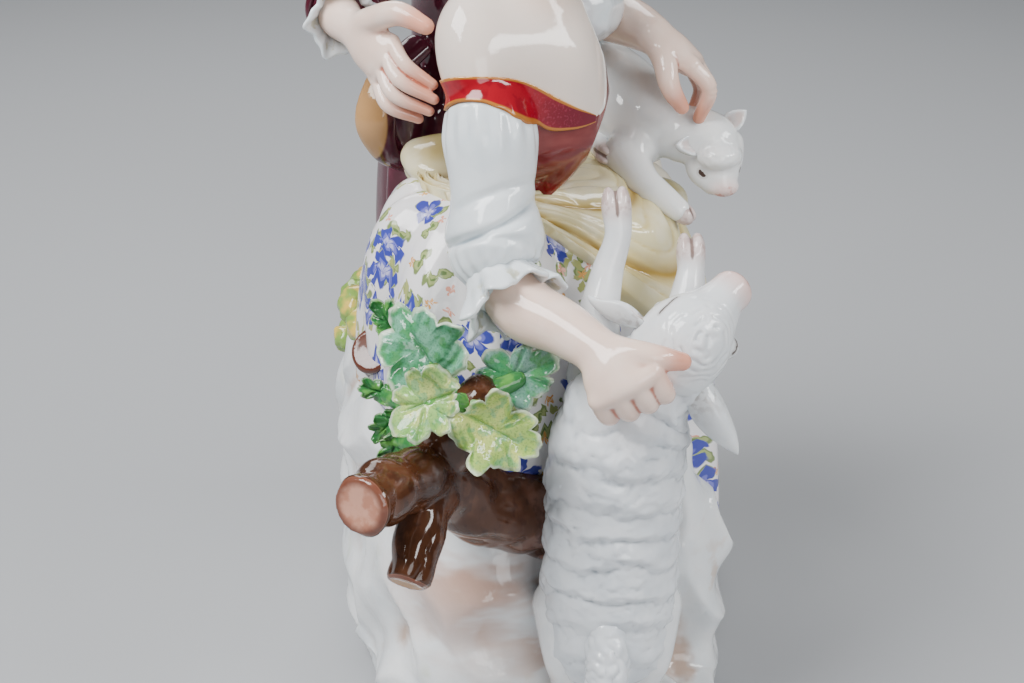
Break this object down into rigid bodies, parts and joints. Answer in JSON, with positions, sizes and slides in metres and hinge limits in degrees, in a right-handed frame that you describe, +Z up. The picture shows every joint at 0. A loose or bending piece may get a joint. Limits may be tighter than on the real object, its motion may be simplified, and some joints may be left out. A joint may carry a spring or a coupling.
{
  "type": "porcelain figure group",
  "caption": "Glazed porcelain figure group: a seated shepherdess and shepherd with a rearing lamb, a kid, a cut tree trunk and leaves on a rocky base.",
  "frame": {"origin": "point under the group on the plane that it stands on", "axes": "+Z up; -Y is the front, where the feet are; -X is the narrow end with the rearing lamb and the cut trunk; +X is the shepherd's end"},
  "size_m": [0.1539, 0.0927, 0.2047],
  "materials": {
    "glazed_porcelain": "clear glossy glaze over hard white porcelain, painted in enamel colours: pale skin, red and plum cloth, pale yellow apron, scattered flowers, green leaves and brown bark"
  },
  "bodies": {
    "root": {"figure_group": "glazed_porcelain"}
  },
  "joints": []
}
